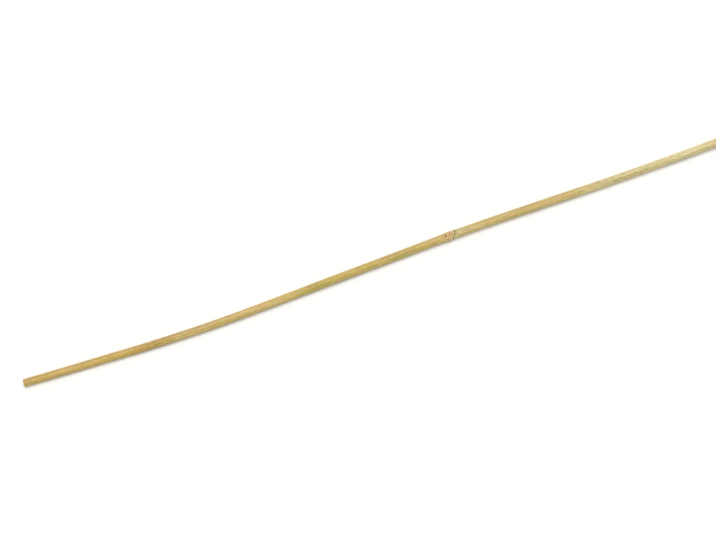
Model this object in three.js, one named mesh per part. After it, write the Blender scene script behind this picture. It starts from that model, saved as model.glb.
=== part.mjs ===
// A bamboo cane: one length of culm, sawn square at both ends, lying on a surface.
// It is a single grown piece. It tapers from its root end at +X to its tip end at -X, and its
// sides are broken by nodes, the rings where a leaf sheath once grew. Millimetres, +Z up.

import * as THREE from 'three';
import { mergeVertices } from 'three/addons/utils/BufferGeometryUtils.js';

// Every place along the cane is measured from the tip's sawn end.
const LENGTH = 900;
const SIDES = 20;

// The culm between its nodes, and how much thicker it is below each node than above it.
const TIP_RADIUS = 3.75;
const TAPER = 0.00045;
const STEP_AT_NODE = 0.08;
const STEP_SPREAD = 2.5;

// bud is the way a node's bud points, in degrees from straight up towards -Y.
const NODES = [
  { at: 440, ridge: 0.5, bud: 7 },
  { at: 745, ridge: 0.5, bud: 138 },
  { at: 886, ridge: 0.55, bud: 303 },
];

// A node has a thin raised scar where the sheath was fixed, a rounder ridge on its tip side,
// and a low swelling under both.
const SCAR_HEIGHT = 0.35;
const SCAR_SPREAD = 1.1;
const RIDGE_TO_SCAR = 4.5;
const RIDGE_SPREAD = 4.5;
const SWELLING_HEIGHT = 0.2;
const SWELLING_SPREAD = 26;

// The bud sits on the ridge's tip side, under the scale that dried over it.
const BUD_TO_SCAR = 7.1;
const BUD_HEIGHT = 0.45;
const BUD_HALF_LENGTH = 3.4;
const BUD_HALF_WIDTH = 2.2;

// The hollow inside runs from each sawn end to the wall that closes the culm at the first node.
const HOLLOW_RADIUS = 1.2;
const NODE_WALL = 4;

// How the cane turns sideways, in degrees: it sets off at START_TURN and turns evenly over each stretch.
const START_TURN = -1.88;
const TURNS = [
  { from: 105, to: 235, turn: 4.5 },
  { from: 434, to: 446, turn: -1.5 },
  { from: 450, to: 560, turn: -0.9 },
  { from: 560, to: 690, turn: 1.8 },
  { from: 739, to: 751, turn: -5.6 },
  { from: 760, to: 870, turn: 0.4 },
  { from: 880, to: 892, turn: 0.8 },
];

// The cane rests on its tip's edge and on each node's ridge, and arches a little between them.
const ARCH_PER_METRE = 0.5;

// Rings of vertices: close together at a node, each step out from it longer than the last.
const FINEST_STEP = 0.7;
const STEP_GROWTH = 1.32;
const STEPS_FROM_NODE = 9;
const LONGEST_STEP = 18;

const { clamp, degToRad, inverseLerp, lerp, smoothstep } = THREE.MathUtils;

// A smooth hump, 1 high at 0 and gone at -1 and 1.
function hump(x) {
  return Math.abs(x) < 1 ? (1 - x * x) ** 2 : 0;
}

function sum(list, value) {
  return list.reduce((total, item) => total + value(item), 0);
}

function outerRadius(s) {
  const culm = TIP_RADIUS + TAPER * s;
  return culm + sum(NODES, ({ at, ridge }) =>
    STEP_AT_NODE * smoothstep(s, at - STEP_SPREAD, at + STEP_SPREAD)
    + ridge * hump((s - at + RIDGE_TO_SCAR) / RIDGE_SPREAD)
    + SCAR_HEIGHT * hump((s - at) / SCAR_SPREAD)
    + SWELLING_HEIGHT * hump((s - at) / SWELLING_SPREAD));
}

function budHeight(s, around) {
  return sum(NODES, ({ at, bud }) => {
    const turned = around - degToRad(bud);
    const sideways = Math.atan2(Math.sin(turned), Math.cos(turned)) * TIP_RADIUS;
    const along = s - at + BUD_TO_SCAR;
    return BUD_HEIGHT * hump(along / BUD_HALF_LENGTH) * hump(sideways / BUD_HALF_WIDTH);
  });
}

// How far aside the centre-line is at s, from all the turning before it.
function sideways(s) {
  return degToRad(START_TURN) * s + sum(TURNS, ({ from, to, turn }) => {
    const turning = clamp(s, from, to) - from;
    const after = Math.max(0, s - to);
    return degToRad(turn) * (turning ** 2 / (2 * (to - from)) + after);
  });
}

// How high the centre-line is at s, so that the cane touches the surface at each of its rests.
function height(s) {
  const rests = [0, ...NODES.map(({ at }) => at - RIDGE_TO_SCAR), LENGTH];
  const next = clamp(rests.filter((rest) => rest < s).length, 1, rests.length - 1);
  const [before, after] = [rests[next - 1], rests[next]];
  const share = inverseLerp(before, after, s);
  const arch = 4 * share * (1 - share) * ARCH_PER_METRE * (after - before) / 1000;
  const lastRadius = next === rests.length - 1 ? outerRadius(before) : outerRadius(after);
  return lerp(outerRadius(before), lastRadius, share) + arch;
}

function centre(s) {
  return new THREE.Vector3(s, sideways(s), height(s));
}

// The directions of the square section at s: to the left of the cane's way, and up.
function section(s) {
  const along = centre(s + 1).sub(centre(s - 1)).normalize();
  const left = new THREE.Vector3(0, 0, 1).cross(along).normalize();
  return { left, up: along.cross(left) };
}

function evenly(from, to) {
  const count = Math.ceil((to - from) / LONGEST_STEP);
  return Array.from({ length: count }, (_, i) => lerp(from, to, i / count));
}

function besideNode(at) {
  const offsets = Array.from({ length: STEPS_FROM_NODE }, (_, i) =>
    FINEST_STEP * (STEP_GROWTH ** (i + 1) - 1) / (STEP_GROWTH - 1));
  return [...offsets.map((offset) => at - offset).reverse(), at, ...offsets.map((offset) => at + offset)];
}

// Where the rings of the outside lie, from the tip to the root end.
function stations() {
  const found = [];
  for (const { at } of NODES) {
    const beside = besideNode(at).filter((s) => s < LENGTH - FINEST_STEP);
    found.push(...evenly(found.at(-1) ?? 0, beside[0]).slice(found.length ? 1 : 0), ...beside);
  }
  return [...found, LENGTH];
}

// Half of the lengthwise cut: in along the tip's hollow, round the outside, and into the root's hollow.
function profile() {
  const tipHollow = NODES[0].at - NODE_WALL / 2;
  const rootHollow = NODES.at(-1).at + NODE_WALL / 2;
  const hollow = [...evenly(0, tipHollow), tipHollow].reverse();
  return [
    new THREE.Vector2(0, tipHollow),
    ...hollow.map((s) => new THREE.Vector2(HOLLOW_RADIUS, s)),
    ...stations().map((s) => new THREE.Vector2(outerRadius(s), s)),
    new THREE.Vector2(HOLLOW_RADIUS, LENGTH),
    new THREE.Vector2(HOLLOW_RADIUS, rootHollow),
    new THREE.Vector2(0, rootHollow),
  ];
}

// Takes the straight, round lathe shape, raises the buds on it and lays it along the centre-line.
function layAlongCentreLine(geometry) {
  const position = geometry.getAttribute('position');
  for (let i = 0; i < position.count; i += 1) {
    const s = position.getY(i);
    const around = Math.atan2(position.getX(i), position.getZ(i));
    const radius = Math.hypot(position.getX(i), position.getZ(i));
    const out = radius + (radius > HOLLOW_RADIUS + 1 ? budHeight(s, around) : 0);
    const { left, up } = section(s);
    const point = centre(s)
      .addScaledVector(up, out * Math.cos(around))
      .addScaledVector(left, -out * Math.sin(around));
    position.setXYZ(i, point.x, point.y, point.z);
  }
}

// Puts the origin at the middle of the cane's box, on the surface that it lies on.
function centreOnSurface(geometry) {
  geometry.computeBoundingBox();
  const { min, max } = geometry.boundingBox;
  geometry.translate(-(min.x + max.x) / 2, -(min.y + max.y) / 2, -min.z);
}

function makeCane() {
  const lathe = new THREE.LatheGeometry(profile(), SIDES);
  lathe.deleteAttribute('normal');
  lathe.deleteAttribute('uv');
  const geometry = mergeVertices(lathe);
  layAlongCentreLine(geometry);
  centreOnSurface(geometry);
  geometry.computeVertexNormals();
  const straw = new THREE.MeshStandardMaterial({ color: 0xc9b06f, roughness: 0.55, metalness: 0 });
  const cane = new THREE.Mesh(geometry, straw);
  cane.name = 'cane';
  return cane;
}

const bambooCane = new THREE.Group();
bambooCane.add(makeCane());

export default bambooCane;
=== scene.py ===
"""A bamboo cane lying on a white floor: one sawn length of culm with its nodes, buds and hollow ends.

The shape is worked out in millimetres on the straightened cane, as in the CAD source: s is the way
along it from the tip's sawn end, and around is the angle round it, from straight up towards -Y.
"""

import math

import bpy
import numpy as np
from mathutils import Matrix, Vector


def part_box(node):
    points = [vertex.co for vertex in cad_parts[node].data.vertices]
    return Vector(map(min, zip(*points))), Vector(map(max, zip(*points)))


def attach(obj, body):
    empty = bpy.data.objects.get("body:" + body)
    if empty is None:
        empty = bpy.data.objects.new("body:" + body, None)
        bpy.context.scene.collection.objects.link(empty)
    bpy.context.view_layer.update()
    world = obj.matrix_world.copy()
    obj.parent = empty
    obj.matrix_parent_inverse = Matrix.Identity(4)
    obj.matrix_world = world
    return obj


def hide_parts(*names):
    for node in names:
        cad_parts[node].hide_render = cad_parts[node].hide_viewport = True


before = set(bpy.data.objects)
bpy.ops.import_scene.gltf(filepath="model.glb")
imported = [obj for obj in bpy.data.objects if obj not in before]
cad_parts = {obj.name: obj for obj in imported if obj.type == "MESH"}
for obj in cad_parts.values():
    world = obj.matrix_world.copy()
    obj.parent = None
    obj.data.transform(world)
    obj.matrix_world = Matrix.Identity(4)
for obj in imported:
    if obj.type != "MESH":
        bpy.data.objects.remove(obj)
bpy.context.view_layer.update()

MM = 0.001

# The culm between its nodes, and how much thicker it is below each node than above it.
LENGTH = 900.0
TIP_RADIUS = 3.75
TAPER = 0.00045
STEP_AT_NODE = 0.08
STEP_SPREAD = 2.5

# The nodes: the place of each one's scar, the height of its ridge, the way its bud points in degrees,
# and how far its scar leans towards the tip, in millimetres, on which side.
NODES = [
    {"at": 440.0, "ridge": 0.5, "bud": 7.0, "lean": 2.1, "side": 95.0},
    {"at": 745.0, "ridge": 0.5, "bud": 138.0, "lean": 1.3, "side": 250.0},
    {"at": 886.0, "ridge": 0.55, "bud": 303.0, "lean": 0.9, "side": 40.0},
]

# The ridge lies on the scar's tip side, and a low swelling under both.
RIDGE_TO_SCAR = 4.5
RIDGE_SPREAD = 4.5
SWELLING_HEIGHT = 0.2
SWELLING_SPREAD = 26.0

# The scar's rim and the low band on its tip side: the height of each, where its two edges start
# beside the scar and how wide they are.
SCAR_RIM = {"height": 0.34, "edges": (-0.9, 0.7, 0.15, 0.6)}
SCAR_BAND = {"height": 0.14, "edges": (-4.2, 0.5, -0.5, 0.5)}

# The grooves along the scar: the place beside it, the half width and the depth of each.
SCAR_GROOVES = [
    (-1.15, 0.5, 0.16),
    (-4.1, 0.6, 0.13),
    (1.5, 0.7, 0.07),
]

# How far the scar wanders, how uneven its rim is and how uneven the ridge is.
SCAR_WANDER = 0.25
RIM_UNEVENNESS = 0.3
RIDGE_UNEVENNESS = 0.08

# Under its bud the scar dips towards the root, around a small pit.
DIP = 1.7
DIP_WIDTH = 7.5
PIT_TO_SCAR = 1.9
PIT_WIDTH = 2.5
PIT_DEPTH = 0.22

# The bud's scale, the small eye in it and the groove that runs on from its point.
SCALE_TO_SCAR = 3.5
SCALE_LENGTH = 8.0
SCALE_WIDTH = 5.2
SCALE_HEIGHT = 0.5
CREASE_DEPTH = 0.1
EYE_TO_SCAR = 7.1
EYE_WIDTH = 2.0
EYE_LENGTH = 2.5
EYE_DEPTH = 0.42
EYE_RIM_HEIGHT = 0.12
GROOVE_DEPTH = 0.2
GROOVE_HALF_WIDTH = 2.1
GROOVE_FADE = 55.0

# The culm is a little oval, and the oval twists along it, in radians per millimetre.
OVAL = 0.045
OVAL_TWIST = 0.004

# The irregular swells on the skin and, as shares of its radius, in the hollow: the height of each,
# its seed, the most waves round the cane, the shortest wave along it and the number of waves.
SKIN_SWELLS = [
    (0.03, 11, 3, 70.0, 12),
    (0.014, 12, 26, 260.0, 24),
    (0.006, 13, 34, 25.0, 24),
]
HOLLOW_SWELLS = [
    (0.06, 21, 4, 18.0, 12),
    (0.025, 22, 12, 60.0, 12),
]

# What the saw did: the worn edge of each end, and the marks on its face, a wave of so many radians
# per millimetre.
WORN_DEPTH = 0.13
WORN_LENGTH = 0.22
SAW_MARK_DEPTH = 0.11
SAW_MARK_WAVE = 7.5

# The chips broken off each end's edge: the way that each one faces and its half width, in radians,
# and its depth and length.
CHIPS = [
    (0.1, 0.24, 0.34, 4.5),
    (2.6, 0.16, 0.22, 2.2),
    (4.4, 0.3, 0.18, 1.6),
]

# The seeds of what differs from end to end, and the first seeds of what differs from node to node.
TIP_SEED = 1
ROOT_SEED = 2
TIP_SAW_SEED = 61
ROOT_SAW_SEED = 62
SCAR_SEED = 30
RIM_SEED = 40
RIDGE_SEED = 50

# How the cane turns sideways: where each turn starts and ends, and how many degrees it turns.
START_TURN = -1.88
TURNS = [
    (105.0, 235.0, 4.5),
    (434.0, 446.0, -1.5),
    (450.0, 560.0, -0.9),
    (560.0, 690.0, 1.8),
    (739.0, 751.0, -5.6),
    (760.0, 870.0, 0.4),
    (880.0, 892.0, 0.8),
]
ARCH_PER_METRE = 0.5

# The hollow that is open at each sawn end, up to the wall at the nearest node.
HOLLOW_RADIUS = 1.2
NODE_WALL = 4.0
TIP_WALL = NODES[0]["at"] - NODE_WALL / 2
ROOT_WALL = NODES[-1]["at"] + NODE_WALL / 2

# The mesh: corners round the cane, and rings along it, which lie closest at the nodes and the ends.
AROUND = 96
FINE_STEP = 0.25
LONG_STEP = 1.7
STEP_GROWTH = 1.12
CUT_RINGS = 14

# How far the closest rings reach from a scar, towards the tip and towards the root, and from an end.
FINE_TO_TIP = 11.0
FINE_TO_ROOT = 4.0
FINE_AT_END = 4.0

# The rings in the tip's hollow lie closer over the stretch that can be seen from outside.
MOUTH = 22.0
MOUTH_RINGS = 16
INNER_GAP = 2.0
INNER_RINGS = 24
ROOT_HOLLOW_RINGS = 12

# The texture's square is a grid of cells: one for each stretch of skin, and then two, the tip's and
# the root's, for the sawn faces, for the hollows and for the walls that close them.
CELLS_ACROSS = 6
CELL_MARGIN = 0.02
SKIN_CELLS = 30
SAWN_CELL = SKIN_CELLS
HOLLOW_CELL = SKIN_CELLS + 2
WALL_CELL = SKIN_CELLS + 4
STRIP_LENGTH = LENGTH / SKIN_CELLS
FACE_WIDTH = 10.5

# Edges sharper than this are shaded as edges.
SHARP_ANGLE = math.radians(60)

# How far from a node's scar its colours reach, in millimetres towards the tip and towards the root.
NODE_REACH = (-34.0, 26.0)
EYE_REACH = 6.0


def hump(x):
    """A smooth hump, 1 high at 0 and gone at -1 and 1."""
    return np.where(np.abs(x) < 1, (1 - np.square(x)) ** 2, 0.0)


def smooth(x):
    """A smooth step from 0 at 0 to 1 at 1."""
    x = np.clip(x, 0, 1)
    return x * x * (3 - 2 * x)


def shelf(x, rise_from, rise_width, fall_from, fall_width):
    """1 high between two smooth edges and 0 outside them, from where each edge starts and its width."""
    return smooth((x - rise_from) / rise_width) * (1 - smooth((x - fall_from) / fall_width))


def turned_from(around, direction):
    """The angle between two directions round the cane, from half a turn back to half a turn on."""
    return np.arctan2(np.sin(around - direction), np.cos(around - direction))


def waves(s, around, seed, turns, shortest, count=12):
    """An irregular swell about 1 high, the sum of so many random waves.

    Each goes up to turns times round the cane, and along it is at least shortest long.
    """
    rng = np.random.default_rng(seed)
    total = 0.0
    for _ in range(count):
        times_round = rng.integers(0, turns + 1)
        along = rng.uniform(-1, 1) * 2 * math.pi / shortest
        total = total + np.cos(times_round * around + along * s + rng.uniform(0, 2 * math.pi))
    return total / math.sqrt(count)


def ring_waves(around, seed, turns):
    """An irregular swell round one ring, about 1 high."""
    return waves(0.0, around, seed, turns, 1.0)


def swells(s, around, table):
    """The sum of the swells in a table, each as high as it says."""
    return sum(high * waves(s, around, *swell) for high, *swell in table)


# The centre-line and how the straightened cane is laid along it.


def sideways(s):
    """How far aside the centre-line is, from all the turning before it."""
    total = math.radians(START_TURN) * s
    for start, end, turn in TURNS:
        turning = np.clip(s, start, end) - start
        after = np.maximum(0, s - end)
        total = total + math.radians(turn) * (turning**2 / (2 * (end - start)) + after)
    return total


def culm_radius(s):
    """The skin's radius before its fine relief."""
    total = TIP_RADIUS + TAPER * s
    for node in NODES:
        d = s - node["at"]
        total = total + STEP_AT_NODE * smooth((d + STEP_SPREAD) / (2 * STEP_SPREAD))
        total = total + node["ridge"] * hump((d + RIDGE_TO_SCAR) / RIDGE_SPREAD)
        total = total + SWELLING_HEIGHT * hump(d / SWELLING_SPREAD)
    return total


def height(s):
    """How high the centre-line is: the cane rests on its tip's edge and its ridges, arched between."""
    rests = np.array([0.0] + [node["at"] - RIDGE_TO_SCAR for node in NODES])
    total = np.interp(s, rests, culm_radius(rests))
    for before, after in zip(rests[:-1], rests[1:]):
        share = np.clip((s - before) / (after - before), 0, 1)
        total = total + 4 * share * (1 - share) * ARCH_PER_METRE * (after - before) * MM
    return total


def centre(s):
    return np.stack([s, sideways(s), height(s)], -1)


def laid(s, radius, around):
    """The places of points of the straightened cane, still in millimetres."""
    along = centre(s + 1) - centre(s - 1)
    along /= np.linalg.norm(along, axis=-1, keepdims=True)
    left = np.cross([0.0, 0.0, 1.0], along)
    left /= np.linalg.norm(left, axis=-1, keepdims=True)
    up = np.cross(along, left)
    upward = up * (radius * np.cos(around))[..., None]
    aside = left * (radius * np.sin(around))[..., None]
    return centre(s) + upward - aside


# The skin's relief.


def beside_bud(s, around, node):
    """How far a point is round the cane from the line along which a node's bud lies."""
    return turned_from(around, math.radians(node["bud"])) * culm_radius(s)


def from_scar(s, around, number):
    """How far a point is from a node's scar, which leans to one side, dips under the bud and wanders."""
    node = NODES[number]
    lean = node["lean"] * np.cos(around - math.radians(node["side"]))
    dip = DIP * hump(2 * beside_bud(s, around, node) / DIP_WIDTH)
    return s - node["at"] + lean - dip + SCAR_WANDER * ring_waves(around, SCAR_SEED + number, 3)


def node_relief(s, around, number):
    """The sheath scar's rim and its grooves, the band beside it, and the unevenness of the ridge."""
    d = from_scar(s, around, number)
    uneven = 1 + RIM_UNEVENNESS * ring_waves(around, RIM_SEED + number, 5)
    rim = SCAR_RIM["height"] * uneven * shelf(d, *SCAR_RIM["edges"])
    band = SCAR_BAND["height"] * shelf(d, *SCAR_BAND["edges"])
    grooves = sum(depth * hump((d - place) / half_width) for place, half_width, depth in SCAR_GROOVES)
    pit = PIT_DEPTH * pit_mask(s, around, number)
    on_ridge = hump((s - NODES[number]["at"] + RIDGE_TO_SCAR) / RIDGE_SPREAD)
    ridge = RIDGE_UNEVENNESS * on_ridge * waves(s, around, RIDGE_SEED + number, 7, 9.0)
    return rim + band - grooves - pit + ridge


def pit_mask(s, around, number):
    """The small pit between a bud and its scar."""
    aside = beside_bud(s, around, NODES[number])
    return hump(2 * np.hypot(from_scar(s, around, number) + PIT_TO_SCAR, aside) / PIT_WIDTH)


def on_bud(s, around, node):
    """Where a point is on a node's bud: how far along its scale, and how far across it in half widths."""
    aside = beside_bud(s, around, node)
    along = (node["at"] - SCALE_TO_SCAR - s) / SCALE_LENGTH
    inside = np.clip(along, 0, 1)
    half_width = SCALE_WIDTH / 2 * np.sqrt(np.clip(0.12 + 1.6 * inside, 0, 1)) * (1 - inside**2.2)
    return along, aside, np.abs(aside) / np.maximum(half_width, 0.05)


def scale_mask(s, around, node):
    """The bud's scale, 1 on it and 0 off it."""
    along, _, across = on_bud(s, around, node)
    return (1 - smooth((across - 0.6) / 0.5)) * shelf(along, 0.0, 0.125, 0.92, 0.08)


def eye_distance(s, around, node):
    """How far a point is from the middle of a bud's eye, which ends at 1."""
    _, aside, _ = on_bud(s, around, node)
    return np.hypot(2 * (s - node["at"] + EYE_TO_SCAR) / EYE_LENGTH, 2 * aside / EYE_WIDTH)


def groove_mask(s, around, node):
    """The shallow groove that runs from a bud's point towards the tip, fading as it goes."""
    _, aside, _ = on_bud(s, around, node)
    past = node["at"] - SCALE_TO_SCAR - SCALE_LENGTH - s
    return smooth(past / 5) * np.exp(-np.maximum(past, 0) / GROOVE_FADE) * hump(aside / GROOVE_HALF_WIDTH)


def bud_relief(s, around, node):
    """The bud's scale, which thins to its point, the crease round it, its eye and its groove."""
    along, _, across = on_bud(s, around, node)
    off_eye = eye_distance(s, around, node)
    scale = SCALE_HEIGHT * scale_mask(s, around, node) * (1 - 0.55 * np.clip(along, 0, 1))
    crease = CREASE_DEPTH * hump((across - 1.15) / 0.3) * shelf(along, 0.0, 0.125, 0.0, 1.0)
    eye = EYE_DEPTH * hump(off_eye / 1.1) - EYE_RIM_HEIGHT * hump((off_eye - 1.5) / 0.8)
    return scale - crease - eye - GROOVE_DEPTH * groove_mask(s, around, node)


def sawn_wear(inward, around, seed):
    """How much the saw broke off an end's edge, at so many millimetres inward of it."""
    uneven = 1 + 0.5 * ring_waves(around, seed, 23)
    total = WORN_DEPTH * (1 - smooth(inward / WORN_LENGTH)) * uneven
    for direction, half_width, depth, length in CHIPS:
        off = turned_from(around, direction + seed) / half_width
        reach = length * (1.1 - np.clip(np.abs(off), 0, 1))
        total = total + depth * hump(off) * (1 - smooth(inward / reach))
    return total


def skin_radius(s, around):
    """The skin's radius with all its relief."""
    oval = OVAL * np.cos(2 * (around + OVAL_TWIST * s))
    total = culm_radius(s) + oval + swells(s, around, SKIN_SWELLS)
    for number, node in enumerate(NODES):
        total = total + node_relief(s, around, number) + bud_relief(s, around, node)
    return total - sawn_wear(s, around, TIP_SEED) - sawn_wear(LENGTH - s, around, ROOT_SEED)


def hollow_radius(s, around):
    return HOLLOW_RADIUS * (1 + swells(s, around, HOLLOW_SWELLS))


# The rings of the mesh, from the wall in the tip's hollow, over the skin, to the wall in the root's.


def skin_places():
    """Where the skin's rings lie: close together about each node and end, further apart between them."""
    fine = [(0.0, FINE_AT_END)]
    fine += [(node["at"] - FINE_TO_TIP, node["at"] + FINE_TO_ROOT) for node in NODES]
    fine += [(LENGTH - FINE_AT_END, LENGTH)]
    places = [0.0]
    while places[-1] < LENGTH:
        apart = min(max(low - places[-1], places[-1] - high, 0) for low, high in fine)
        places.append(places[-1] + min(LONG_STEP, FINE_STEP + (STEP_GROWTH - 1) * apart))
    return np.array(places) * LENGTH / places[-1]


def cut_rings(end, inward, seed):
    """The rings of a sawn face, from its hollow out to the skin, with the marks that the saw left."""
    around = ring_angles()
    rings = []
    for share in np.linspace(0, 1, CUT_RINGS + 2)[1:-1]:
        radius = (1 - share) * hollow_radius(end, around) + share * skin_radius(end, around)
        strokes = 0.25 * np.sin(SAW_MARK_WAVE * radius * np.cos(around))
        marks = 0.5 + strokes + 0.2 * waves(radius, around, seed, 30, 1.2)
        rings.append((end + inward * SAW_MARK_DEPTH * np.clip(marks, 0, 1), radius, "sawn"))
    return rings


def ring_angles():
    return np.linspace(0, 2 * math.pi, AROUND, endpoint=False)


def even_rings(places, radius_at, surface):
    around = ring_angles()
    return [(np.full(AROUND, s), radius_at(s, around), surface) for s in places]


def cane_rings():
    """Every ring: how far along its corners are, their radii, and the surface that the ring is on."""
    rings = even_rings(np.linspace(TIP_WALL, MOUTH + INNER_GAP, INNER_RINGS), hollow_radius, "hollow")
    rings += even_rings(np.linspace(MOUTH, 0, MOUTH_RINGS), hollow_radius, "hollow")
    rings += cut_rings(0.0, 1, TIP_SAW_SEED)
    rings += even_rings(skin_places(), skin_radius, "skin")
    rings += reversed(cut_rings(LENGTH, -1, ROOT_SAW_SEED))
    rings += even_rings(np.linspace(LENGTH, ROOT_WALL, ROOT_HOLLOW_RINGS), hollow_radius, "hollow")
    return rings


# The layout of the texture.


def in_cell(cell, u, v):
    """Puts a patch's own u and v, each from 0 to 1, in a cell of the square."""
    row, column = divmod(cell, CELLS_ACROSS)
    room = (1 - 2 * CELL_MARGIN) / CELLS_ACROSS
    u = (column + CELL_MARGIN) / CELLS_ACROSS + u * room
    v = (row + CELL_MARGIN) / CELLS_ACROSS + v * room
    return np.stack(np.broadcast_arrays(u, v), -1)


def on_face(radius, turn):
    """Where a point of a flat end is on its own patch."""
    u = 0.5 + radius * np.sin(2 * math.pi * turn) / FACE_WIDTH
    v = 0.5 + radius * np.cos(2 * math.pi * turn) / FACE_WIDTH
    return u, v


def patch_of(surface, s):
    """The cell of the patch that is at s, where the patch starts along the cane, and how long it is."""
    at_root = s > LENGTH / 2
    if surface == "skin":
        strip = min(int(s / STRIP_LENGTH), SKIN_CELLS - 1)
        return strip, strip * STRIP_LENGTH - LONG_STEP, STRIP_LENGTH + 2 * LONG_STEP
    if surface == "sawn":
        return SAWN_CELL + at_root, 0.0, LENGTH
    if at_root:
        return HOLLOW_CELL + 1, ROOT_WALL, LENGTH - ROOT_WALL
    return HOLLOW_CELL, 0.0, TIP_WALL


def band_uv(near, far, surface):
    """The texture places of the corners of the faces between two neighbouring rings."""
    cell, start, length = patch_of(surface, (near[0].mean() + far[0].mean()) / 2)
    turn = np.linspace(0, 1, AROUND + 1)
    sides = []
    for s, radius, _ in (near, far):
        if surface == "sawn":
            u, v = on_face(np.append(radius, radius[0]), turn)
        else:
            u, v = turn, (s[0] - start) / length
        sides.append(in_cell(cell, u, v))
    return np.stack([sides[0][:-1], sides[0][1:], sides[1][1:], sides[1][:-1]], 1)


def fan_uv(ring, cell):
    """The texture places of the corners of the fan that closes a hollow."""
    turn = np.linspace(0, 1, AROUND + 1)
    rim = in_cell(cell, *on_face(np.append(ring[1], ring[1][0]), turn))
    middle = np.broadcast_to(in_cell(cell, 0.5, 0.5), (AROUND, 2))
    return np.stack([rim[1:], rim[:-1], middle], 1)


# The mesh.


def face_corners(ring_count):
    """The corners of the faces between the rings, and of the two fans that close the hollows."""
    corner = np.arange(AROUND)
    beside = (corner + 1) % AROUND
    faces = []
    for ring in range(ring_count - 1):
        near, far = ring * AROUND, (ring + 1) * AROUND
        faces += np.stack([near + corner, near + beside, far + beside, far + corner], -1).tolist()
    last = (ring_count - 1) * AROUND
    middle = ring_count * AROUND
    faces += np.stack([beside, corner, np.full(AROUND, middle)], -1).tolist()
    faces += np.stack([last + corner, last + beside, np.full(AROUND, middle + 1)], -1).tolist()
    return faces


def store(mesh, name, values):
    attribute = mesh.attributes.new(name, "FLOAT_VECTOR", "POINT")
    attribute.data.foreach_set("vector", np.asarray(values, np.float32).ravel())


def scar_marks(s, around):
    """How far each point is from the nearest scar, whether it lies below that node's bud, and the pits."""
    distances = np.stack([from_scar(s, around, number) for number in range(len(NODES))])
    below = np.stack([hump(2 * beside_bud(s, around, node) / DIP_WIDTH) for node in NODES])
    nearest = np.abs(distances).argmin(0)[None]
    distance, below_bud = (np.take_along_axis(each, nearest, 0)[0] for each in (distances, below))
    pits = sum(pit_mask(s, around, number) for number in range(len(NODES)))
    return np.stack([distance, below_bud, pits], -1)


def bud_marks(s, around):
    """The buds' scales, how near an eye is, and the grooves that run on from the buds."""
    scale = sum(scale_mask(s, around, node) for node in NODES)
    off_eye = np.min([eye_distance(s, around, node) for node in NODES], 0)
    groove = sum(groove_mask(s, around, node) for node in NODES)
    return np.stack([scale, np.minimum(off_eye, EYE_REACH), groove], -1)


def corners_of(rings):
    """The corners of the straightened cane: ring by ring, then the middles of the two walls."""
    s = np.concatenate([ring[0] for ring in rings] + [rings[0][0][:1], rings[-1][0][:1]])
    radius = np.concatenate([ring[1] for ring in rings] + [[0.0, 0.0]])
    around = np.concatenate([np.tile(ring_angles(), len(rings)), [0.0, 0.0]])
    return s, radius, around


def put_on_cad(places):
    """Moves the laid cane onto the middle of the CAD's box, on the floor, and turns it into metres."""
    low, high = places.min(0), places.max(0)
    centred = places - [(low[0] + high[0]) / 2, (low[1] + high[1]) / 2, low[2]]
    cad_low, cad_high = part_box("cane")
    return centred * MM + [(cad_low.x + cad_high.x) / 2, (cad_low.y + cad_high.y) / 2, cad_low.z]


def cover(mesh, rings, materials):
    """Gives each face of the mesh its material and its place on the texture."""
    bands = list(zip(rings[:-1], rings[1:]))
    surfaces = ["sawn" if "sawn" in (near[2], far[2]) else near[2] for near, far in bands]
    patches = [band_uv(near, far, surface) for (near, far), surface in zip(bands, surfaces)]
    patches += [fan_uv(rings[0], WALL_CELL), fan_uv(rings[-1], WALL_CELL + 1)]
    uv_map = mesh.uv_layers.new(name="OFBake")
    uv_map.data.foreach_set("uv", np.concatenate([patch.reshape(-1) for patch in patches]))
    slots = [list(materials).index(surface) for surface in surfaces + ["hollow", "hollow"]]
    mesh.polygons.foreach_set("material_index", np.repeat(slots, AROUND))
    for material in materials.values():
        mesh.materials.append(material)


def make_cane(materials):
    rings = cane_rings()
    s, radius, around = corners_of(rings)
    mesh = bpy.data.meshes.new("bamboo_cane")
    places = put_on_cad(laid(s, radius, around))
    mesh.from_pydata(places.tolist(), [], face_corners(len(rings)))
    cover(mesh, rings, materials)
    store(mesh, "straight", np.stack([s, radius * np.sin(around), radius * np.cos(around)], -1))
    store(mesh, "bud", bud_marks(s, around))
    store(mesh, "scar", scar_marks(s, around))
    mesh.shade_smooth()
    mesh.set_sharp_from_angle(angle=SHARP_ANGLE)
    return add_object("bamboo_cane", mesh)


def add_object(name, data):
    added = bpy.data.objects.new(name, data)
    bpy.context.collection.objects.link(added)
    return added


# The materials.

# How far each seed moves a noise along its three axes, so that no two are alike.
SEED_STEPS = (7.3, 3.1, 5.7)


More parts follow.
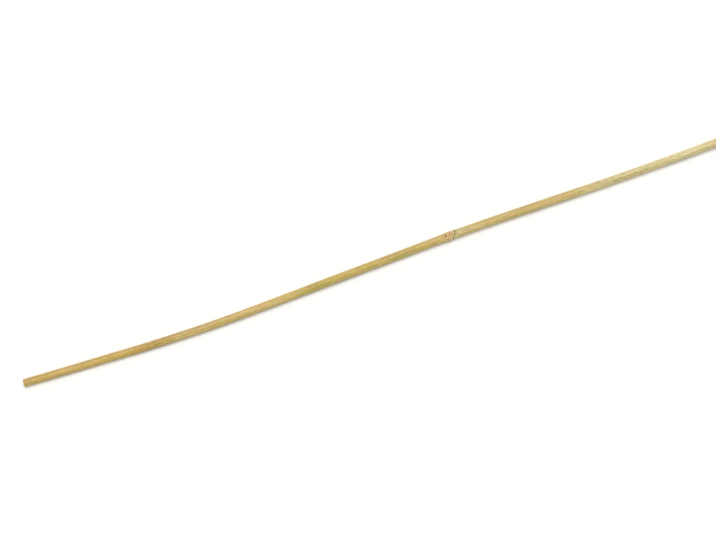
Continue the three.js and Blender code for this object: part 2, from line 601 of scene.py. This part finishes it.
class Graph:
    """The nodes of one material. Each method adds a node and gives back its output."""

    def __init__(self, name):
        self.material = bpy.data.materials.new(name)
        self.material.use_nodes = True
        self.tree = self.material.node_tree
        self.shader = self.tree.nodes["Principled BSDF"]
        self.straight = self.attribute("straight")

    def set(self, socket, value):
        """Links another node's output to an input, or writes a value on it."""
        if isinstance(value, bpy.types.NodeSocket):
            self.tree.links.new(value, socket)
        else:
            socket.default_value = value

    def node(self, kind, inputs, **settings):
        """A node with its inputs, by name or number, and its settings."""
        node = self.tree.nodes.new("ShaderNode" + kind)
        for name, value in settings.items():
            setattr(node, name, value)
        for key, value in inputs.items():
            self.set(node.inputs[key], value)
        return node

    def attribute(self, name):
        """A vector that the mesh holds at each of its corners."""
        return self.node("Attribute", {}, attribute_name=name).outputs["Vector"]

    def parts(self, vector):
        return self.node("SeparateXYZ", {"Vector": vector}).outputs

    def from_middle(self):
        """How far a point is from the middle line of the straightened cane."""
        _, left, up = self.parts(self.straight)
        squares = self.math("ADD", self.math("MULTIPLY", left, left), self.math("MULTIPLY", up, up))
        return self.math("SQRT", squares)

    def math(self, operation, first, second=0.0):
        return self.node("Math", {0: first, 1: second}, operation=operation).outputs[0]

    def stretched(self, along, across, seed):
        """The straightened cane's coordinates, in noise waves per millimetre along it and across it."""
        moved = tuple(seed * step for step in SEED_STEPS)
        inputs = {0: self.straight, 1: (along, across, across), 2: moved}
        return self.node("VectorMath", inputs, operation="MULTIPLY_ADD").outputs[0]

    def noise(self, along, across, seed, detail=3.0, roughness=0.5):
        """Cloudy noise about 0.5, with so many waves per millimetre along the cane and across it."""
        inputs = {"Vector": self.stretched(along, across, seed), "Scale": 1.0}
        inputs.update({"Detail": detail, "Roughness": roughness})
        return self.node("TexNoise", inputs).outputs["Fac"]

    def spots(self, along, across, seed, size):
        """Scattered round spots, 1 inside and 0 outside."""
        inputs = {"Vector": self.stretched(along, across, seed), "Scale": 1.0}
        distance = self.node("TexVoronoi", inputs).outputs["Distance"]
        return self.span(distance, size, size * 0.5)

    def span(self, value, low, high, to_low=0.0, to_high=1.0):
        """Takes the range from low to high to another, smoothly, and stops at its ends."""
        inputs = {0: value, 1: low, 2: high, 3: to_low, 4: to_high}
        return self.node("MapRange", inputs, interpolation_type="SMOOTHSTEP").outputs[0]

    def ramp(self, value, low, high, stops):
        """The colour and the strength at a place between low and high, from stops that hold all three."""
        scaled = self.node("MapRange", {0: value, 1: low, 2: high}).outputs[0]
        node = self.node("ValToRGB", {"Fac": scaled})
        elements = node.color_ramp.elements
        while len(elements) < len(stops):
            elements.new(0.5)
        for element, (place, colour, strength) in zip(elements, stops):
            element.position = (place - low) / (high - low)
            element.color = (*colour, strength)
        return node.outputs["Color"], node.outputs["Alpha"]

    def mix(self, share, first, second, blend="MIX"):
        """The first colour with a share of the second over it."""
        node = self.node("Mix", {}, data_type="RGBA", blend_type=blend)
        for index, value in ((0, share), (6, first), (7, second)):
            is_colour = index and not isinstance(value, bpy.types.NodeSocket)
            self.set(node.inputs[index], (*value, 1.0) if is_colour else value)
        return node.outputs[2]

    def brighten(self, colour, factor):
        """The colour times a factor."""
        grey = self.node("CombineXYZ", {0: factor, 1: factor, 2: factor}).outputs[0]
        return self.mix(1.0, colour, grey, "MULTIPLY")

    def bump(self, height, depth, normal=None):
        """Raises the surface by height times depth, in millimetres."""
        inputs = {"Height": height, "Distance": depth * MM, "Strength": 1.0}
        if normal:
            inputs["Normal"] = normal
        return self.node("Bump", inputs).outputs["Normal"]


# The skin's colours, in linear red, green and blue.
STRAW = (0.54, 0.35, 0.066)
TAN = (0.43, 0.265, 0.038)
WHEAT = (0.555, 0.375, 0.105)
OLIVE = (0.455, 0.34, 0.047)
FRESH = (0.50, 0.375, 0.07)
CREAM = (0.545, 0.40, 0.12)
# PALE is the cane's own paler colour, lightened further by a painted sheen.
PALE = (0.655, 0.55, 0.27)

# Where along the cane each colour is, and how strongly the pale streaks show there. They are waxy bloom,
# and where they are strongest, between 600 and 755 millimetres, they are also a painted sheen.
ZONES = [
    (0.0, STRAW, 0.0),
    (85.0, STRAW, 0.0),
    (118.0, TAN, 0.1),
    (135.0, TAN, 0.1),
    (165.0, WHEAT, 0.3),
    (245.0, WHEAT, 0.3),
    (295.0, OLIVE, 0.2),
    (380.0, OLIVE, 0.2),
    (425.0, FRESH, 0.2),
    (450.0, CREAM, 0.4),
    (565.0, CREAM, 0.3),
    (600.0, PALE, 0.5),
    (640.0, PALE, 0.9),
    (735.0, PALE, 0.8),
    (755.0, WHEAT, 0.4),
    (810.0, OLIVE, 0.2),
    (880.0, TAN, 0.2),
    (900.0, STRAW, 0.1),
]

# The colours about a node's scar, and how much they cover the skin's own.
PINK = (0.60, 0.365, 0.155)
RIM = (0.74, 0.57, 0.28)
GROOVE = (0.34, 0.21, 0.075)
GREY = (0.36, 0.30, 0.14)
BLOOM = (0.66, 0.58, 0.30)
NODE_COLOURS = [
    (-34.0, PINK, 0.0),
    (-15.0, PINK, 0.2),
    (-8.0, PINK, 0.55),
    (-5.4, RIM, 0.5),
    (-4.6, GROOVE, 0.5),
    (-4.0, PINK, 0.75),
    (-2.4, PINK, 0.8),
    (-1.7, GROOVE, 0.7),
    (-1.1, RIM, 0.95),
    (0.1, RIM, 0.95),
    (0.7, GROOVE, 0.75),
    (1.6, GREY, 0.6),
    (2.8, GREY, 0.5),
    (4.0, BLOOM, 0.6),
    (9.0, BLOOM, 0.3),
    (26.0, BLOOM, 0.0),
]
SCAR_LINE = [
    (-34.0, GROOVE, 0.0),
    (0.2, GROOVE, 0.0),
    (0.6, GROOVE, 1.0),
    (1.2, GROOVE, 1.0),
    (1.7, GROOVE, 0.0),
]
DARK = (0.085, 0.05, 0.015)

# The colours from the middle of a bud's eye outwards.
EYE_BROWN = (0.27, 0.145, 0.05)
OUTLINE = (0.40, 0.25, 0.095)
HALO = (0.76, 0.50, 0.21)
BUD_COLOURS = [
    (0.0, EYE_BROWN, 1.0),
    (0.65, EYE_BROWN, 1.0),
    (1.15, OUTLINE, 0.9),
    (1.6, HALO, 0.9),
    (2.2, HALO, 0.8),
    (2.6, OUTLINE, 0.65),
    (3.0, OUTLINE, 0.5),
    (3.5, PINK, 0.4),
    (5.5, PINK, 0.0),
]
BUD_TAN = (0.58, 0.365, 0.145)

# What lies over the skin's own colour in stretches, patches, streaks and specks.
SUN_PINK = (0.62, 0.385, 0.145)
MOSS = (0.38, 0.35, 0.052)
# The pale streaks: waxy bloom, and also a painted sheen where they are strongest.
BLOOM_AND_SHEEN_STREAK = (0.82, 0.75, 0.46)
SPECK = (0.16, 0.10, 0.055)
ROSY = (0.60, 0.35, 0.15)
GREENISH = (0.43, 0.39, 0.08)
DRY = (0.63, 0.50, 0.235)

# The sawn wood's colours at so many millimetres from the cane's middle line, and what lies over them.
SAWN_REACH = 4.6
SAWN_COLOURS = [
    (1.2, (0.80, 0.71, 0.50), 1.0),
    (2.4, (0.76, 0.62, 0.38), 1.0),
    (3.5, (0.66, 0.49, 0.25), 1.0),
    (4.1, (0.50, 0.36, 0.16), 1.0),
]
FIBRE_END = (0.30, 0.18, 0.08)
SAW_DUST = (0.52, 0.46, 0.36)

LINING_BROWN = (0.46, 0.33, 0.18)
LINING_PALE = (0.72, 0.60, 0.40)

# How rough each surface is, and how deep its finest relief is, in millimetres.
SKIN_ROUGHNESS = (0.36, 0.56)
SAWN_ROUGHNESS = 0.85
LINING_ROUGHNESS = 0.9
FIBRE_DEPTH = 0.05
PORE_DEPTH = 0.012
TORN_DEPTH = 0.06

# The fibres, long bands, clouds and short flecks that make the skin lighter and darker. First what
# its noise is, as in Graph.noise, and then which range of it gives which range of shades.
GRAINS = [
    ((0.03, 3.2, 6, 6.0, 0.62), (0.25, 0.75, 0.80, 1.14)),
    ((0.007, 0.85, 11), (0.3, 0.7, -0.12, 0.12)),
    ((0.05, 0.12, 7), (0.25, 0.75, -0.06, 0.06)),
    ((0.22, 1.5, 14, 2.0), (0.3, 0.7, -0.16, 0.16)),
]


def grown_colour(graph):
    """The colours along the cane, pinker on the side that saw the sun and mossier on the other."""
    s, left, _ = graph.parts(graph.straight)
    sun_side = graph.math("DIVIDE", left, -TIP_RADIUS)
    colour, bloom_and_sheen = graph.ramp(s, 0.0, LENGTH, ZONES)
    blush = graph.math("ADD", graph.noise(0.010, 0.22, 1), graph.math("MULTIPLY", sun_side, 0.16))
    colour = graph.mix(graph.span(blush, 0.45, 0.8, 0.0, 0.65), colour, SUN_PINK)
    moss = graph.math("SUBTRACT", graph.noise(0.014, 0.3, 2), graph.math("MULTIPLY", sun_side, 0.12))
    colour = graph.mix(graph.span(moss, 0.5, 0.8, 0.0, 0.55), colour, MOSS)
    colour = patches_over(graph, colour)
    # Pale streaks: waxy bloom, and also a painted sheen where the zones make them strongest.
    streaks = graph.span(graph.noise(0.018, 1.5, 3), 0.5, 0.7)
    return graph.mix(graph.math("MULTIPLY", streaks, bloom_and_sheen), colour, BLOOM_AND_SHEEN_STREAK)


def patches_over(graph, colour):
    """Short rosy, green and dry patches."""
    mottle = graph.noise(0.11, 0.75, 13, 2.0)
    colour = graph.mix(graph.span(mottle, 0.52, 0.72, 0.0, 0.75), colour, ROSY)
    colour = graph.mix(graph.span(mottle, 0.48, 0.28, 0.0, 0.75), colour, GREENISH)
    dry = graph.noise(0.16, 0.9, 15, 2.0)
    return graph.mix(graph.span(dry, 0.5, 0.75, 0.0, 0.5), colour, DRY)


def scar_over(graph, colour):
    """The colours about each scar, and the dark line along it, which is unbroken below the bud."""
    scar, below_bud, _ = graph.parts(graph.attribute("scar"))
    about_scar, strength = graph.ramp(scar, *NODE_REACH, NODE_COLOURS)
    patchy = graph.span(graph.noise(0.25, 0.9, 4), 0.25, 0.6, 0.5, 1.0)
    colour = graph.mix(graph.math("MULTIPLY", strength, patchy), colour, about_scar)
    _, line = graph.ramp(scar, *NODE_REACH, SCAR_LINE)
    broken = graph.span(graph.noise(0.0, 0.5, 12), 0.35, 0.65, 0.05, 0.6)
    broken = graph.math("MAXIMUM", broken, graph.span(below_bud, 0.8, 0.97, 0.0, 0.95))
    return graph.mix(graph.math("MULTIPLY", broken, line), colour, DARK)


def bud_over(graph, colour):
    """The bud's scale and groove, its eye with a pale ring round it, and the pit below it."""
    scale, off_eye, groove = graph.parts(graph.attribute("bud"))
    colour = graph.mix(graph.math("MULTIPLY", scale, 0.6), colour, BUD_TAN)
    colour = graph.mix(graph.math("MULTIPLY", groove, 0.3), colour, BUD_TAN)
    about_eye, strength = graph.ramp(off_eye, 0.0, EYE_REACH, BUD_COLOURS)
    colour = graph.mix(strength, colour, about_eye)
    pit = graph.parts(graph.attribute("scar"))[2]
    return graph.mix(graph.span(pit, 0.12, 0.5, 0.0, 0.95), colour, EYE_BROWN)


def skin_shade(graph):
    """How light the skin is at each place, from all its grains."""
    shade = 0.0
    for noise, shades in GRAINS:
        shade = graph.math("ADD", shade, graph.span(graph.noise(*noise), *shades))
    return shade


def skin_colour(graph):
    colour = bud_over(graph, scar_over(graph, grown_colour(graph)))
    specks = graph.spots(0.12, 0.5, 5, 0.09)
    colour = graph.mix(graph.math("MULTIPLY", specks, 0.7), colour, SPECK)
    return graph.brighten(colour, skin_shade(graph))


def skin_material():
    """Satin skin with fine lengthwise fibres."""
    graph = Graph("bamboo_skin")
    graph.set(graph.shader.inputs["Base Color"], skin_colour(graph))
    roughness = graph.span(graph.noise(0.04, 1.2, 8), 0.25, 0.75, *SKIN_ROUGHNESS)
    graph.set(graph.shader.inputs["Roughness"], roughness)
    fibres = graph.bump(graph.noise(0.03, 3.4, 9, 4.0, 0.6), FIBRE_DEPTH)
    pores = graph.bump(graph.noise(0.9, 2.2, 10, 4.0, 0.6), PORE_DEPTH, fibres)
    graph.set(graph.shader.inputs["Normal"], pores)
    return graph.material


def sawn_material():
    """The cut fibres: dark dots in pale wood, closest together under the skin, with dust on them."""
    graph = Graph("sawn_bamboo")
    radius = graph.from_middle()
    wood, _ = graph.ramp(radius, 0.0, SAWN_REACH, SAWN_COLOURS)
    coarse = graph.spots(0.0, 2.6, 1, 0.3)
    dense = graph.math("MULTIPLY", graph.spots(0.0, 4.6, 2, 0.36), graph.span(radius, 2.4, 3.4))
    dots = graph.math("MAXIMUM", coarse, dense)
    colour = graph.mix(graph.math("MULTIPLY", dots, 0.75), wood, FIBRE_END)
    dust = graph.span(graph.noise(0.5, 1.1, 3), 0.45, 0.7, 0.0, 0.35)
    graph.set(graph.shader.inputs["Base Color"], graph.mix(dust, colour, SAW_DUST))
    graph.set(graph.shader.inputs["Roughness"], SAWN_ROUGHNESS)
    torn = graph.bump(graph.noise(1.0, 6.0, 4, 4.0, 0.6), TORN_DEPTH)
    graph.set(graph.shader.inputs["Normal"], graph.bump(dots, FIBRE_DEPTH, torn))
    return graph.material


def hollow_material():
    """The pale lining of the hollow, in lengthwise fibres."""
    graph = Graph("hollow_lining")
    fibres = graph.noise(0.06, 5.0, 1)
    colour = graph.mix(graph.span(fibres, 0.3, 0.7), LINING_BROWN, LINING_PALE)
    graph.set(graph.shader.inputs["Base Color"], colour)
    graph.set(graph.shader.inputs["Roughness"], LINING_ROUGHNESS)
    graph.set(graph.shader.inputs["Normal"], graph.bump(fibres, FIBRE_DEPTH))
    return graph.material


# The floor, the light and the camera, in metres.

FLOOR_SIDE = 40.0
FLOOR_WHITE = (0.93, 0.93, 0.93, 1.0)
FLOOR_ROUGHNESS = 0.9

# The world's light at the horizon and overhead, and the heights of the sky between which it changes.
HORIZON_STRENGTH = 1.05
WORLD_STRENGTH = 0.41
HORIZON = (math.sin(math.radians(9.0)), math.sin(math.radians(20.0)))
WHITE = (1.0, 1.0, 1.0, 1.0)

SOFTBOX_STRENGTH = 2.08
SOFTBOX_WIDTH = math.radians(50.0)
SOFTBOX_PLACE = (0.1, 0.1, 1.8)

# Where the camera stands round the point that it looks at, how high above the floor's plane it looks
# from, and how far off it is. That point is so far along the cane's box from the tip, and aside of
# the box's middle. The lens and the sensor are in millimetres.
CAMERA_TURN = math.radians(-19.56)
CAMERA_RISE = math.radians(68.0)
CAMERA_DISTANCE = 1.5624
AIM_ALONG = 0.3398
AIM_ASIDE = -0.0021
CAMERA_LENS = 80.0
SENSOR_WIDTH = 36.0


def make_floor():
    mesh = bpy.data.meshes.new("floor")
    side = FLOOR_SIDE / 2
    corners = [(-side, -side, 0), (side, -side, 0), (side, side, 0), (-side, side, 0)]
    mesh.from_pydata(corners, [], [(0, 1, 2, 3)])
    floor = add_object("floor", mesh)
    graph = Graph("white_floor")
    graph.set(graph.shader.inputs["Base Color"], FLOOR_WHITE)
    graph.set(graph.shader.inputs["Roughness"], FLOOR_ROUGHNESS)
    mesh.materials.append(graph.material)


def aim(thing, target):
    """Turns a camera or a light, which looks along its own -Z, towards a point."""
    thing.rotation_euler = (Vector(target) - thing.location).to_track_quat("-Z", "Y").to_euler()


def make_world():
    """Soft white light from all round, with a white horizon that the floor runs into."""
    world = bpy.data.worlds.new("soft_white")
    world.use_nodes = True
    tree = world.node_tree
    background = tree.nodes["Background"]
    background.inputs["Color"].default_value = WHITE
    place = tree.nodes.new("ShaderNodeTexCoord")
    parts = tree.nodes.new("ShaderNodeSeparateXYZ")
    rise = tree.nodes.new("ShaderNodeMapRange")
    rise.interpolation_type = "SMOOTHSTEP"
    for socket, value in zip(rise.inputs[1:5], (*HORIZON, HORIZON_STRENGTH, WORLD_STRENGTH)):
        socket.default_value = value
    tree.links.new(place.outputs["Generated"], parts.inputs["Vector"])
    tree.links.new(parts.outputs["Z"], rise.inputs["Value"])
    tree.links.new(rise.outputs["Result"], background.inputs["Strength"])
    bpy.context.scene.world = world


def make_softbox():
    """A wide soft lamp almost overhead."""
    softbox = bpy.data.lights.new("softbox", "SUN")
    softbox.energy = SOFTBOX_STRENGTH
    softbox.angle = SOFTBOX_WIDTH
    lamp = add_object("softbox", softbox)
    lamp.location = SOFTBOX_PLACE
    aim(lamp, (0.0, 0.0, 0.0))


def make_camera():
    """Looks down from the -Y side on the cane from its tip to just before its second node."""
    low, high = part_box("cane")
    target = Vector((low.x + AIM_ALONG, (low.y + high.y) / 2 + AIM_ASIDE, (low.z + high.z) / 2))
    data = bpy.data.cameras.new("camera")
    data.sensor_width = SENSOR_WIDTH
    data.lens = CAMERA_LENS
    camera = add_object("camera", data)
    level = math.cos(CAMERA_RISE)
    back = Vector((math.sin(CAMERA_TURN) * level, -math.cos(CAMERA_TURN) * level, math.sin(CAMERA_RISE)))
    camera.location = target + CAMERA_DISTANCE * back
    aim(camera, target)
    bpy.context.scene.camera = camera


make_camera()
make_world()
make_softbox()
make_floor()
cane = make_cane({"skin": skin_material(), "sawn": sawn_material(), "hollow": hollow_material()})
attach(cane, "root")
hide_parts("cane")

bpy.context.scene.view_settings.view_transform = "Standard"
